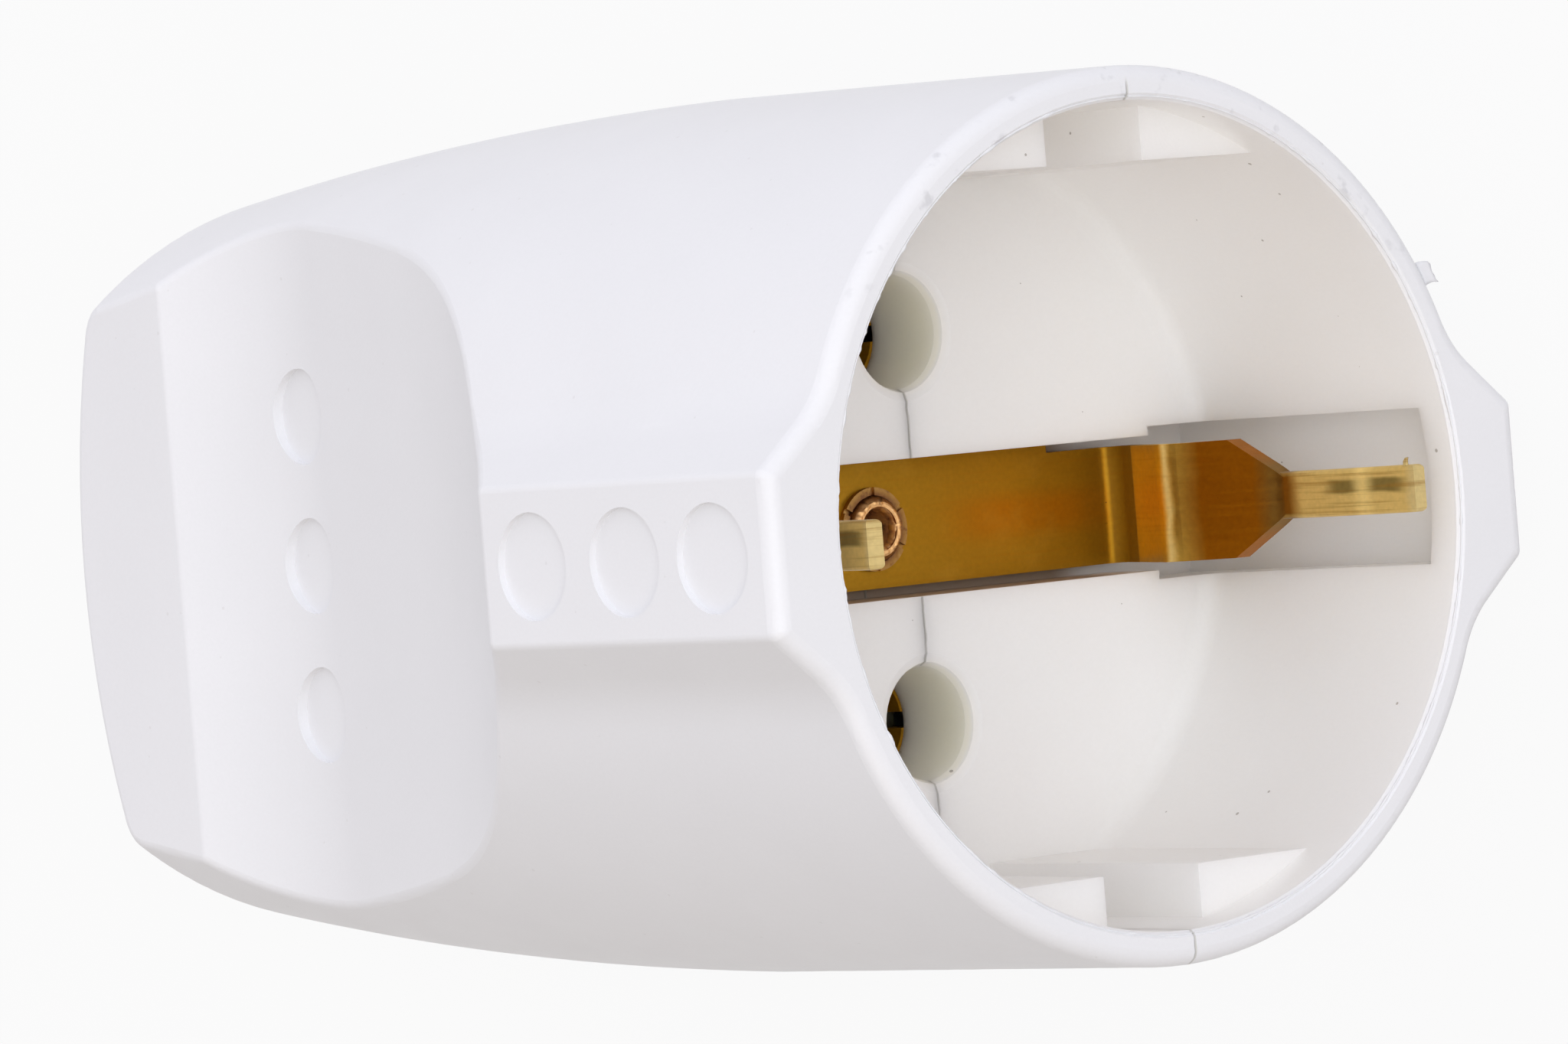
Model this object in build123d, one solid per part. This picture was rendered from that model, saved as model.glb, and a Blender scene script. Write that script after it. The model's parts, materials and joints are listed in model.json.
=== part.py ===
from build123d import *
import math
import os

# Earthed cord coupler: two moulded half shells closed round a brass earth strap and two contact sleeves.
# It is drawn along its own axis, in millimetres: +X out of the mouth, +Y along the line of the two pins,
# +Z square to the split between the shells. The mouth is at x = 0.
# At the end the whole is tipped about Y, to the way it lies on a table: on its lower rib and its rear lip.

# Barrel
RIM_W = 1.65             # width of the mouth's rim
BELLY_SWELL = 0.45       # how much the barrel's radius grows from the mouth to the belly
BELLY_RUN = 6.2          # rear edge of the ribs to the belly, where the radius is largest
TAIL_TAPER = 3.15        # how much the radius shrinks from the belly to the rear end
END_CURVE_R = 43.0       # the rear end bulges by this radius, seen along Z
WALL = 2.0               # wall of the rear housing
RIM_ROUND = 0.8          # rounding of the outer mouth edge
RIM_BEVEL = 0.3          # bevel of the inner mouth edge

# Ribs above and below the mouth, which house the earth strap's legs
RIB_RISE = 2.1           # belly radius to a rib's flat
RIB_FLAT = 7.5           # width of the flat
RIB_LENGTH = 21.3        # mouth to the rear edge of the ribs, where the finger scoops start
RIB_FLANK_DEG = 50.0     # slope of the rib's flanks
RIB_BLEND_R = 6.0        # hollow where a flank runs into the barrel
RIB_EDGE_R = 0.5         # rounding of the flat's edges

# Finger scoops, cut straight across above and below, and the lip behind them
KNEE_RUN = 16.7          # rear edge of the ribs to the end of the scoop's steep front curve
KNEE_DROP = 9.05         # rib's flat down to there
HEEL_RUN = 20.1          # rear end to the start of the scoop's rear curve
HEEL_DROP = 12.35
LIP_LENGTH = 9.0         # rear end to the front edge of the lip
LIP_DROP = 10.9          # rib's flat down to the flat of the lip
EDGE_R = 0.6             # rounding of the scoop's and the lip's edges
CORNER_R = 1.6           # rounding of the rear corners

# Sunk marking discs, left plain
DISC_DEPTH = 0.35
RIB_DISC_D = 5.1
RIB_DISC_BACK = (4.3, 10.7, 17.6)
SCOOP_DISC_D = 4.9
SCOOP_DISC_RUN = 18.0    # rear end to the discs in the scoop
SCOOP_DISC_PITCH = 7.6

# Recess that takes the plug
RECESS_R = 19.45
RECESS_DEPTH = 17.6
RECESS_CORNER_R = 1.0
FLOOR_T = 5.2            # thickness of the wall between the recess and the housing
PAD_RISE = 2.8           # guide pads: how far their flats stand in from the recess wall
PAD_BACK = 2.7           # mouth to the front of a pad
PAD_NOTCH = 6.0          # gap between the two pads of a side
LEG_SLOT_W = 7.6         # slot in the recess wall behind each leg of the strap
LEG_SLOT_DEPTH = 2.05    # depth of that slot
LEG_SLOT_BACK = 2.0      # mouth to the front end of that slot
LEG_SLOT_INSET = 3.95    # recess wall in to the end of that slot where it meets the floor
PIN_PITCH = 19.0         # distance between the two pins
PIN_HOLE_Y = 5.6         # pin hole in the floor, along the pin line
PIN_HOLE_Z = 5.2         # the same across the split
PIN_HOLE_ROUND = 0.6     # how far the pin hole's mouth is rounded off

# Earth strap: one brass strip, folded up at both ends
STRAP_T = 0.85
STRAP_W = 5.8
STRAP_SINK = 3.4         # recess floor down to the strap's face
STRAP_CLEAR = 0.45       # strip to each side of its channel
STRAP_EAR = 0.38         # the base is wider by this on its +Y side
STRAP_EAR_Z = 11.7       # half length of that wider stretch
STRAP_FOLD_INSET = 3.05  # recess wall in to the face of the strip at the fold
HUMP_BACK = 15.0         # mouth to the spring hump of a leg
HUMP_INSET = 5.55        # recess wall in to the hump
NECK_BACK = 9.2          # mouth to where the shoulders reach the narrow tab
NECK_INSET = 3.25
SHOULDER_BACK = 11.6     # mouth to the start of the shoulders
TAB_W = 2.3
TAB_BACK = 0.4           # mouth to the end of the tab
TAB_INSET = 2.65
TAB_BOW = 0.35           # the tab bows inward by this much
TAB_EDGE_R = 0.25        # rounding of the tab's long edges
FOLD_R = 1.2
HUMP_R = 1.7
NECK_R = 2.0
TAB_BOW_R = 12.0

# Hollow rivet through the middle of the strap, split and flared at its front
RIVET_R = 1.35
RIVET_BORE_R = 1.0
RIVET_FLARE_R = 2.05     # the petals lie flat on the strap out to here
RIVET_FLARE_T = 0.3
RIVET_LIP_H = 0.65       # strap's face to the crest of the lip
RIVET_LIP_W = 0.25       # width of that crest
RIVET_HEAD_R = 2.5
RIVET_HEAD_H = 0.6
RIVET_PETALS = 6
RIVET_SLIT = 0.25
RIVET_CLEAR = 0.15

# Earth bar: an angle behind the floor, held by the rivet, with a tapped collar for its screw
BAR_T = 1.0
BAR_W = 5.5
BAR_DROP = 4.0           # axis down to the underside of the bar
BAR_LENGTH = 11.6
BAR_RISE = 2.75          # axis up to the top of the bar's upright
BAR_SCREW_BACK = 7.2     # front of the bar to its screw
COLLAR_R = 2.7
COLLAR_H = 2.0
CLAMP_PLATE = (7.0, 5.4, 1.0)

# Contact sleeves
SLEEVE_R = 3.45
SLEEVE_BORE_R = 2.45
SLEEVE_LENGTH = 13.6
SLEEVE_SLIT = 0.8
SLIT_END = 0.8           # end of the slit to the flange
FLANGE_T = 1.2           # flange in front of the groove that the shells' webs sit in
BORE_DEPTH = 14.6
TERMINAL_R = 4.2
TERMINAL_LENGTH = 9.0
WIRE_BORE_R = 1.7
WIRE_BORE_DEPTH = 6.6
RING_BACK = 2.4          # front of the sleeve to its spring ring
RING_W = 3.0
RING_T = 0.8
RING_GROOVE = 0.25
RING_GAP = 1.6
WEB_T = 2.0              # webs of the shells that hold a contact by its groove
WEB_W = 10.0
SEAT_CLEAR = 0.15        # contact to the plastic round it
FIT_CLEAR = 0.05         # metal piece to the metal hole or groove that it fits

# Screws
TERMINAL_SCREW_R = 1.65
TERMINAL_HEAD_R = 2.6
TERMINAL_HEAD_H = 2.0
TERMINAL_SCREW_UP = 0.6  # gap under the head of an open terminal screw
HOUSING_SCREW_R = 1.6
HOUSING_HEAD_R = 2.8
HOUSING_HEAD_H = 2.2
HOUSING_HEAD_CLEAR = 0.3
HOUSING_SEAT_Z = 7.0     # split down to the seat of a housing screw's head
HOUSING_SCREW_UP = 7.0   # split up to the tip of a housing screw
SCREW_CLEAR = 0.1
TIP_CLEAR = 0.6
SCREW_SLOT_W = 0.8
SCREW_SLOT_DEPTH = 0.9
BOSS_WALL = 1.2          # plastic round the head of a housing screw
FRONT_BOSS_GAP = 1.9     # earth bar to the boss of the front housing screw
REAR_BOSS_GAP = 1.6      # contacts to the bosses of the rear housing screws
REAR_SCREW_INSET = 4.4   # barrel at the rear end in to the rear housing screws

# Cord clamp and inlet
CORD_R = 5.0             # passage under the clamp
INLET_R = 4.5
INLET_ROUND = 0.8        # rounding of the inlet's outer edge
INLET_LENGTH = 6.0       # rear end to the inner end of the inlet's collar
INLET_GAP = 2.9          # cord clamp to that collar
INLET_WALL = 2.0         # wall of that collar
CLAMP_GAP = 0.2          # bosses of the rear housing screws to the clamp
CLAMP_LENGTH = 5.4
CLAMP_ARCH_T = 2.2
CLAMP_EAR_T = 2.8
CLAMP_EDGE = 3.0         # clamp screw to the end of the clamp
CLAMP_SCREW_R = 1.5
CLAMP_HEAD_R = 2.4
CLAMP_HEAD_H = 1.8
CLAMP_SCREW_REACH = 5.5  # underside of the clamp down to the tip of its screw

# Large cutters run past what they cut by OVER and small ones by PAST, and edges are picked within TINY
OVER = 5.0
PAST = 1.0
TINY = 0.05

mouth_r = RECESS_R + RIM_W
belly_r = mouth_r + BELLY_SWELL
tail_r = belly_r - TAIL_TAPER
rib_z = belly_r + RIB_RISE
pad_y = RECESS_R - PAD_RISE
leg_slot_z = RECESS_R + LEG_SLOT_DEPTH
leg_slot_in_z = RECESS_R - LEG_SLOT_INSET
strap_fold_z = RECESS_R - STRAP_FOLD_INSET
hump_z = RECESS_R - HUMP_INSET
neck_z = RECESS_R - NECK_INSET
tab_z = RECESS_R - TAB_INSET
floor_x = -RECESS_DEPTH
floor_back_x = floor_x - FLOOR_T
strap_x = floor_x - STRAP_SINK
strap_seat_x = strap_x - STRAP_T
sleeve_back_x = floor_back_x - SLEEVE_LENGTH
terminal_back_x = sleeve_back_x - TERMINAL_LENGTH
terminal_screw_x = terminal_back_x + WIRE_BORE_DEPTH / 2
web_back_x = sleeve_back_x + SEAT_CLEAR
web_front_x = web_back_x + WEB_T
flange_back_x = web_front_x + SEAT_CLEAR
flange_x = flange_back_x + FLANGE_T
bar_top_z = BAR_T - BAR_DROP
bar_screw_x = floor_back_x - BAR_SCREW_BACK
boss_r = HOUSING_HEAD_R + HOUSING_HEAD_CLEAR + BOSS_WALL
front_screw_x = floor_back_x - BAR_LENGTH - FRONT_BOSS_GAP - boss_r
rear_screw_x = terminal_back_x - REAR_BOSS_GAP - boss_r
rear_screw_y = tail_r - REAR_SCREW_INSET
clamp_x = rear_screw_x - boss_r - CLAMP_GAP
clamp_end_x = clamp_x - CLAMP_LENGTH
clamp_mid_x = (clamp_x + clamp_end_x) / 2
clamp_screw_y = CORD_R + CLAMP_ARCH_T + CLAMP_HEAD_R
clamp_half_w = clamp_screw_y + CLAMP_EDGE
inlet_x = clamp_end_x - INLET_GAP
rear_x = inlet_x - INLET_LENGTH
belly_x = -RIB_LENGTH - BELLY_RUN
knee_x = -RIB_LENGTH - KNEE_RUN
heel_x = rear_x + HEEL_RUN
lip_x = rear_x + LIP_LENGTH
knee_z = rib_z - KNEE_DROP
heel_z = rib_z - HEEL_DROP
lip_z = rib_z - LIP_DROP
housing_screws = {
    "front": (front_screw_x, 0.0),
    "left": (rear_screw_x, rear_screw_y),
    "right": (rear_screw_x, -rear_screw_y),
}
contacts = {"line": PIN_PITCH / 2, "neutral": -PIN_PITCH / 2}


def block(x0, x1, y0, y1, z0, z1):
    """Box between two corners."""
    return Pos((x0 + x1) / 2, (y0 + y1) / 2, (z0 + z1) / 2) * Box(abs(x1 - x0), abs(y1 - y0), abs(z1 - z0))


def rod_x(x0, x1, y, z, radius):
    """Cylinder along X."""
    return Pos((x0 + x1) / 2, y, z) * Rot(0, 90, 0) * Cylinder(radius, abs(x1 - x0))


def rod_z(x, y, z0, z1, radius):
    """Cylinder along Z."""
    return Pos(x, y, (z0 + z1) / 2) * Cylinder(radius, abs(z1 - z0))


def spun(lines):
    """Solid of revolution about X, from an outline in x and radius, begun square to the split."""
    return Rot(90, 0, 0) * revolve(make_face(lines), Axis.X)


def near(shape, test):
    """The edges of a shape whose middle passes a test."""
    return [edge for edge in shape.edges() if test(edge @ 0.5)]


def mouth_section(radius):
    """Cross-section of the front: the round barrel with a rib above and below."""
    lean = math.radians(RIB_FLANK_DEG)
    reach = RIB_FLAT / 2 * math.sin(lean) + rib_z * math.cos(lean)
    upper = [(RIB_FLAT / 2, rib_z), (reach * math.sin(lean), reach * math.cos(lean))]
    outline = upper + [(y, -z) for y, z in reversed(upper)]
    outline += [(-y, -z) for y, z in outline]
    section = Circle(radius) + make_face(Polyline(*outline, close=True))
    crests = [v for v in section.vertices() if abs(v.Y) > rib_z - TINY]
    section = fillet(crests, RIB_EDGE_R)
    hollows = [v for v in section.vertices() if RIB_FLAT / 2 + RIB_EDGE_R < abs(v.X) < radius - TINY]
    return fillet(hollows, RIB_BLEND_R)


def front_barrel():
    """Front of the barrel with its ribs, widening from the mouth to the belly."""
    mouth = Plane.YZ * mouth_section(mouth_r)
    belly = Plane.YZ.offset(belly_x) * mouth_section(belly_r)
    return loft([mouth, belly], ruled=True)


def rear_barrel(inset):
    """Rear of the barrel, narrowing in one long arc, drawn in by a wall."""
    belly = (belly_x, belly_r - inset)
    tail = (rear_x, tail_r - inset)
    lines = Polyline(tail, (rear_x, 0), (belly_x, 0), belly)
    lines += TangentArc(belly, tail, tangent=(-1, 0))
    return spun(lines)


def arc_from(point, heading, other):
    """Centre and radius of the arc that leaves a point along a heading and meets another point."""
    left = Vector(-heading.Y, heading.X).normalized()
    span = other - point
    radius = span.dot(span) / (2 * span.dot(left))
    return point + left * radius, abs(radius)


def scoop(inset):
    """Side view of the upper scoop: knee and heel of its straight stretch, and its front and rear arcs."""
    knee = Vector(knee_x, knee_z - inset)
    heel = Vector(heel_x, heel_z - inset)
    front = arc_from(knee, knee - heel, Vector(-RIB_LENGTH, rib_z - inset))
    rear = arc_from(heel, heel - knee, Vector(lip_x, lip_z - inset))
    return knee, heel, front, rear


def side_form(inset):
    """What the two scoops and the lip leave standing, extruded across."""
    knee, heel, (centre, radius), _ = scoop(inset)
    top = rib_z + OVER / 2 - inset
    start = Vector(centre.X + math.sqrt(radius ** 2 - (centre.Y - top) ** 2), top)
    lip = Vector(lip_x, lip_z - inset)
    end_x = rear_x - OVER
    upper = Polyline((end_x, 0), (OVER, 0), (OVER, top), start)
    upper += TangentArc(knee, start, tangent=knee - heel)
    upper += Line(knee, heel)
    upper += TangentArc(heel, lip, tangent=heel - knee)
    upper += Polyline(lip, (end_x, lip.Y), (end_x, 0))
    half = extrude(Plane.XZ * make_face(upper), amount=belly_r + OVER, both=True)
    return half + mirror(half, Plane.XY)


def end_form(inset):
    """What the bulged rear end leaves standing, extruded along Z."""
    half_w = belly_r + OVER
    sag = END_CURVE_R - math.sqrt(END_CURVE_R ** 2 - half_w ** 2)
    tip = inset + rear_x
    lines = ThreePointArc((tip + sag, -half_w), (tip, 0), (tip + sag, half_w))
    lines += Polyline((tip + sag, half_w), (OVER, half_w), (OVER, -half_w), (tip + sag, -half_w))
    return extrude(make_face(lines), amount=rib_z + OVER, both=True)


def discs():
    """Cutters for the sunk discs on the upper rib and in the upper scoop."""
    cuts = [rod_z(-back, 0, rib_z - DISC_DEPTH, rib_z + OVER, RIB_DISC_D / 2) for back in RIB_DISC_BACK]
    centre, radius = scoop(0)[3]
    lean = math.asin((rear_x + SCOOP_DISC_RUN - centre.X) / radius)
    out = Vector(-math.sin(lean), 0, math.cos(lean))
    for step in (-1, 0, 1):
        middle = Vector(centre.X, step * SCOOP_DISC_PITCH, centre.Y) - out * radius
        cuts.append(Plane(middle, z_dir=out) * Cylinder(SCOOP_DISC_D / 2, 2 * DISC_DEPTH))
    return cuts


def outside():
    """The closed outer form of both shells together, with its edges rounded."""
    form = front_barrel()
    form = fillet(near(form, lambda p: p.X > -TINY), RIM_ROUND)
    form = form + rear_barrel(0)
    form = form & side_form(0) & end_form(0)
    form = fillet(near(form, lambda p: p.X < lip_x and abs(p.Z) < TINY), CORNER_R)
    smooth = (knee_x, heel_x)

    def is_crease(p):
        level = abs(p.Y) < TINY and any(abs(p.X - x) < TINY for x in smooth)
        return p.X < EDGE_R - RIB_LENGTH and abs(p.Z) > heel_z / 2 and not level

    return fillet(near(form, is_crease), EDGE_R)


def inside():
    """Hollow of the rear housing before anything stands in it."""
    cone = [(0, 0), (0, mouth_r - WALL), (belly_x, belly_r - WALL), (belly_x, 0)]
    core = spun(Polyline(*cone, close=True)) + rear_barrel(WALL)
    far = rib_z + OVER
    return core & side_form(WALL) & end_form(WALL) & block(rear_x, floor_back_x, -far, far, -far, far)


def trumpet(mouth_x, out, radius, rounding, depth):
    """Cutter for a round hole along X, whose mouth opens towards out in two flats that follow a rounding."""
    throat = (mouth_x - out * rounding, radius)
    brim = (mouth_x, radius + rounding)
    deep_x = mouth_x - out * depth
    front_x = mouth_x + out * OVER
    bend = rounding * (1 - math.sqrt(0.5))
    middle = (mouth_x - out * bend, radius + bend)
    return spun(Polyline(
        brim, (front_x, brim[1]), (front_x, 0), (deep_x, 0), (deep_x, radius), throat, middle, close=True))


def pin_hole(y, side):
    """Pin hole of one shell: a round arc that meets the other shell's in a slight point."""
    half_y, half_z = PIN_HOLE_Y / 2, PIN_HOLE_Z / 2
    radius = (half_y ** 2 + half_z ** 2) / (2 * half_z)
    hole = trumpet(floor_x, 1, radius, PIN_HOLE_ROUND, FLOOR_T + OVER)
    return Pos(0, y, side * (half_z - radius)) * hole


def recess():
    """What is open towards the mouth: the recess less its guide pads, and the strap's slots and channel."""
    bend = (floor_x + RECESS_CORNER_R, RECESS_R)
    foot = (floor_x, RECESS_R - RECESS_CORNER_R)
    bevel_r = RECESS_R + RIM_BEVEL
    rim = [(OVER, bevel_r), (0, bevel_r), (-RIM_BEVEL, RECESS_R)]
    lines = Polyline(foot, (floor_x, 0), (OVER, 0), *rim, bend)
    lines += TangentArc(bend, foot, tangent=(-1, 0))
    hollow = spun(lines)
    for side_y in (-1, 1):
        for side_z in (-1, 1):
            hollow -= block(floor_x - OVER, -PAD_BACK, side_y * pad_y, side_y * (RECESS_R + OVER),
                            side_z * PAD_NOTCH / 2, side_z * RECESS_R)
    slot = LEG_SLOT_W / 2
    slot_in, slot_out = leg_slot_in_z, leg_slot_z
    for side in (-1, 1):
        hollow += block(strap_seat_x, -LEG_SLOT_BACK, -slot, slot, side * slot_in, side * slot_out)
    channel = STRAP_W / 2 + STRAP_CLEAR
    hollow += block(strap_seat_x, floor_x + RECESS_CORNER_R, -channel, channel, -slot_in, slot_in)
    return hollow


def stands(side):
    """What stands in one shell: screw bosses, the inlet's collar and a web for each contact's groove."""
    deep = side * (rib_z + OVER)
    pieces = [rod_z(x, y, 0, deep, boss_r) for x, y in housing_screws.values()]
    collar = rod_x(rear_x, inlet_x, 0, 0, INLET_R + INLET_WALL)
    pieces.append(collar - rod_x(rear_x, inlet_x, 0, 0, INLET_R))
    half = WEB_W / 2
    for y in contacts.values():
        web = block(web_front_x, web_back_x, y - half, y + half, 0, deep)
        pieces.append(web - rod_x(web_front_x + PAST, web_back_x - PAST, y, 0, SLEEVE_R + SEAT_CLEAR))
    return pieces


def saddle():
    """Block of the lower shell under the cord clamp, with the cord's groove, back to the inlet."""
    body = block(clamp_x, rear_x, -clamp_half_w, clamp_half_w, -rib_z - OVER, 0)
    return body - rod_x(clamp_x + PAST, rear_x, 0, 0, CORD_R)


def half_space(side):
    """Everything on one side of the split."""
    far = rib_z + OVER
    return block(rear_x - OVER, OVER, -far, far, 0, side * far)


def half_shell(whole, side):
    """One half of the outer form, with its pin holes."""
    half = whole & half_space(side)
    for y in contacts.values():
        half -= pin_hole(y, side)
    return half


def shells():
    """The upper and the lower shell."""
    whole = outside()
    whole -= trumpet(rear_x, -1, INLET_R, INLET_ROUND, INLET_LENGTH)
    whole -= recess()
    whole -= rod_x(strap_seat_x + PAST, floor_back_x - PAST, 0, 0, RIVET_R + RIVET_CLEAR)
    hollow = inside()
    upper = half_shell(whole, 1) - (hollow & half_space(1) - stands(1))
    lower = half_shell(whole, -1) - (hollow & half_space(-1) - stands(-1) - saddle())
    upper -= discs()
    shank = HOUSING_SCREW_R + SCREW_CLEAR
    for x, y in housing_screws.values():
        upper -= rod_z(x, y, -PAST, HOUSING_SCREW_UP + TIP_CLEAR, shank)
        lower -= rod_z(x, y, -HOUSING_SEAT_Z - PAST, PAST, shank)
        lower -= rod_z(x, y, -rib_z, -HOUSING_SEAT_Z, HOUSING_HEAD_R + HOUSING_HEAD_CLEAR)
    tip_z = -CLAMP_SCREW_REACH - TIP_CLEAR
    for side in (-1, 1):
        lower -= rod_z(clamp_mid_x, side * clamp_screw_y, tip_z, PAST, CLAMP_SCREW_R + SCREW_CLEAR)
    return upper, lower


def earth_strap():
    """U-shaped strip: flat base with an ear, and folded legs with a hump, shoulders and a bowed tab."""
    mid = STRAP_T / 2
    base_x = strap_x - mid
    tab_mid = (-(NECK_BACK + TAB_BACK) / 2, (neck_z + tab_z) / 2 - TAB_BOW + mid)
    path = FilletPolyline(
        (base_x, 0), (base_x, strap_fold_z + mid), (-HUMP_BACK, hump_z + mid), (-NECK_BACK, neck_z + mid),
        tab_mid, (-TAB_BACK, tab_z + mid), radius=(FOLD_R, HUMP_R, NECK_R, TAB_BOW_R))
    leg = extrude(Plane.XZ * trace(path, STRAP_T), amount=STRAP_W / 2, both=True)
    strip = leg + mirror(leg, Plane.XY)
    wide, slim = STRAP_W / 2, TAB_W / 2
    edge = [(strap_seat_x - PAST, wide), (-SHOULDER_BACK, wide), (-NECK_BACK, slim), (OVER, slim)]
    outline = edge + [(x, -y) for x, y in reversed(edge)]
    strip = strip & extrude(make_face(Polyline(*outline, close=True)), amount=rib_z, both=True)
    strip = fillet(near(strip, lambda p: p.X > -NECK_BACK and abs(abs(p.Y) - slim) < TINY), TAB_EDGE_R)
    strip += block(strap_x, strap_seat_x, 0, wide + STRAP_EAR, -STRAP_EAR_Z, STRAP_EAR_Z)
    return strip - rod_x(strap_x + PAST, strap_seat_x - PAST, 0, 0, RIVET_R + FIT_CLEAR)


def earth_rivet():
    """Hollow rivet with a flat head behind the bar, and a lip and split petals on the strap's face."""
    seat_x = floor_back_x - BAR_T
    head_x = seat_x - RIVET_HEAD_H
    flare_x = strap_x + RIVET_FLARE_T
    lip_x = strap_x + RIVET_LIP_H
    head = [(head_x, RIVET_BORE_R), (head_x, RIVET_HEAD_R), (seat_x, RIVET_HEAD_R), (seat_x, RIVET_R)]
    flare = [(strap_x, RIVET_R), (strap_x, RIVET_FLARE_R), (flare_x, RIVET_FLARE_R)]
    lip = [(flare_x, RIVET_R + RIVET_LIP_W), (lip_x, RIVET_R), (lip_x, RIVET_R - RIVET_LIP_W)]
    rivet = spun(Polyline(*head, *flare, *lip, (strap_x, RIVET_BORE_R), close=True))
    half = RIVET_SLIT / 2
    slit = block(strap_x + RIVET_FLARE_T / 2, lip_x + PAST, RIVET_R, RIVET_FLARE_R + PAST, -half, half)
    for step in range(RIVET_PETALS):
        rivet -= Rot(step * 360 / RIVET_PETALS, 0, 0) * slit
    return rivet


def earth_bar():
    """Angle of brass sheet behind the floor, with a tapped collar under it."""
    half = BAR_W / 2
    bar = block(floor_back_x, floor_back_x - BAR_T, -half, half, -BAR_DROP, BAR_RISE)
    bar += block(floor_back_x, floor_back_x - BAR_LENGTH, -half, half, -BAR_DROP, bar_top_z)
    bar += rod_z(bar_screw_x, 0, -BAR_DROP - COLLAR_H, -BAR_DROP, COLLAR_R)
    tapped = TERMINAL_SCREW_R + FIT_CLEAR
    bar -= rod_z(bar_screw_x, 0, -BAR_DROP - COLLAR_H - PAST, bar_top_z + PAST, tapped)
    bar -= rod_x(floor_back_x + PAST, floor_back_x - BAR_T - PAST, 0, 0, RIVET_R + FIT_CLEAR)
    return bar


def earth_clamp_plate():
    """Square washer that presses the earth wire on the bar."""
    half_x, half_y = CLAMP_PLATE[0] / 2, CLAMP_PLATE[1] / 2
    top_z = bar_top_z + CLAMP_PLATE[2]
    plate = block(bar_screw_x - half_x, bar_screw_x + half_x, -half_y, half_y, bar_top_z, top_z)
    return plate - rod_z(bar_screw_x, 0, bar_top_z - PAST, top_z + PAST, TERMINAL_SCREW_R + FIT_CLEAR)


def contact(y):
    """Turned contact: a slit sleeve for the pin, a flange and a thicker terminal end for the wire."""
    piece = rod_x(floor_back_x, sleeve_back_x, y, 0, SLEEVE_R)
    piece += rod_x(flange_x, flange_back_x, y, 0, TERMINAL_R)
    piece += rod_x(sleeve_back_x, terminal_back_x, y, 0, TERMINAL_R)
    piece -= rod_x(floor_back_x + PAST, floor_back_x - BORE_DEPTH, y, 0, SLEEVE_BORE_R)
    piece -= rod_x(terminal_back_x - PAST, terminal_back_x + WIRE_BORE_DEPTH, y, 0, WIRE_BORE_R)
    piece -= rod_z(terminal_screw_x, y, 0, TERMINAL_R + PAST, TERMINAL_SCREW_R + FIT_CLEAR)
    half, far = SLEEVE_SLIT / 2, SLEEVE_R + PAST
    piece -= block(floor_back_x + PAST, flange_x + SLIT_END, y - half, y + half, -far, far)
    ring_x = floor_back_x - RING_BACK
    groove = rod_x(ring_x, ring_x - RING_W, y, 0, far)
    groove -= rod_x(ring_x, ring_x - RING_W, y, 0, SLEEVE_R - RING_GROOVE)
    return piece - groove


def spring_ring(y):
    """Open steel ring that presses the halves of a slit sleeve together."""
    inner = SLEEVE_R - RING_GROOVE + FIT_CLEAR
    front_x = floor_back_x - RING_BACK - FIT_CLEAR
    back_x = floor_back_x - RING_BACK - RING_W + FIT_CLEAR
    outer = inner + RING_T
    half = RING_GAP / 2
    ring = rod_x(front_x, back_x, y, 0, outer) - rod_x(front_x + PAST, back_x - PAST, y, 0, inner)
    return ring - block(front_x + PAST, back_x - PAST, y - half, y + half, 0, outer + PAST)


def cord_clamp():
    """Bridge over the cord: two flat ears and a round arch."""
    ears = Pos(0, CLAMP_EAR_T / 2) * Rectangle(2 * clamp_half_w, CLAMP_EAR_T)
    above = Pos(0, clamp_half_w / 2) * Rectangle(2 * clamp_half_w, clamp_half_w)
    arch = Circle(CORD_R + CLAMP_ARCH_T) & above
    section = ears + arch - Circle(CORD_R)
    bridge = extrude(Plane.YZ.offset(clamp_end_x) * section, amount=CLAMP_LENGTH)
    hole_r = CLAMP_SCREW_R + SCREW_CLEAR
    for side in (-1, 1):
        bridge -= rod_z(clamp_mid_x, side * clamp_screw_y, -PAST, CLAMP_EAR_T + PAST, hole_r)
    return bridge


def screw(x, y, seat_z, tip_z, shank_r, head_r, head_h):
    """Slotted screw along Z, with its head on seat_z and its tip at tip_z."""
    out = math.copysign(1, seat_z - tip_z)
    top_z = seat_z + out * head_h
    piece = rod_z(x, y, tip_z, seat_z, shank_r) + rod_z(x, y, seat_z, top_z, head_r)
    half = SCREW_SLOT_W / 2
    long = head_r + PAST
    slot_z = top_z - out * SCREW_SLOT_DEPTH
    return piece - block(x - long, x + long, y - half, y + half, slot_z, top_z + out * PAST)


def terminal_screw(x, y, seat_z, tip_z):
    """Screw of an electrical terminal."""
    return screw(x, y, seat_z, tip_z, TERMINAL_SCREW_R, TERMINAL_HEAD_R, TERMINAL_HEAD_H)


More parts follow.
